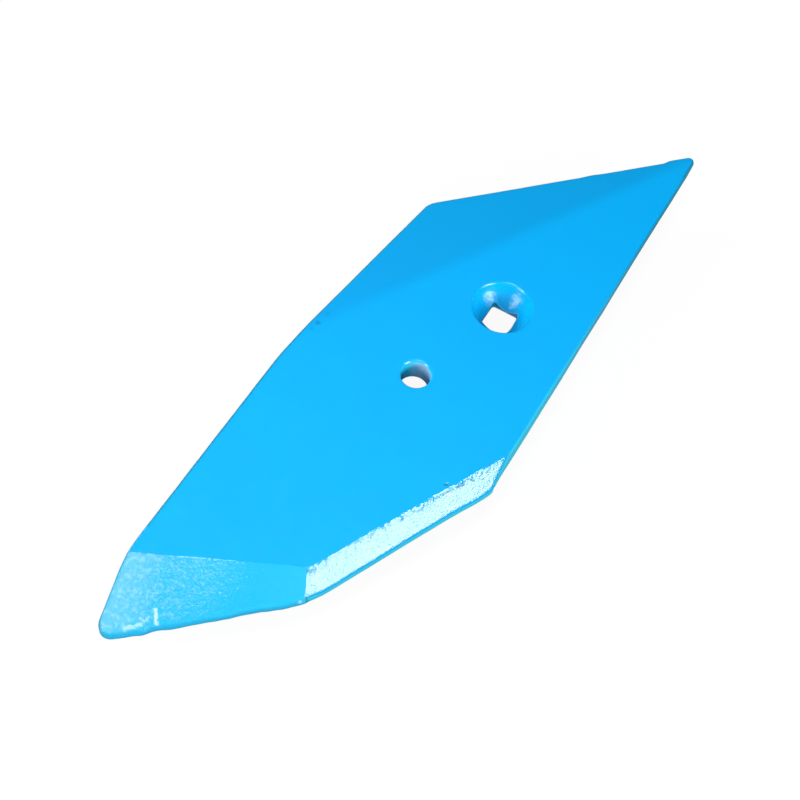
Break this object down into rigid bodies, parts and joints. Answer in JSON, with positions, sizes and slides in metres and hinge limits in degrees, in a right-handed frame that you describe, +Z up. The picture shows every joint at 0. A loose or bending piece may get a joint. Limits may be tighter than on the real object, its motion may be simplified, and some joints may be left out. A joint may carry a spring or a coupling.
{
  "type": "plowshare point",
  "caption": "Flat forged steel share point with a drawn-down cutting nose, a pressed-down wing corner, a dished square bolt hole and a round bolt hole.",
  "frame": {"origin": "on the axis of the square bolt hole, at the flat underside", "axes": "+X along the blade towards the tail, +Y across it away from the straight landside edge, +Z up out of the worn face"},
  "size_m": [0.3555, 0.11, 0.0273],
  "materials": {
    "paint": "gloss"
  },
  "bodies": {
    "root": {"share_point": "paint"}
  },
  "joints": []
}
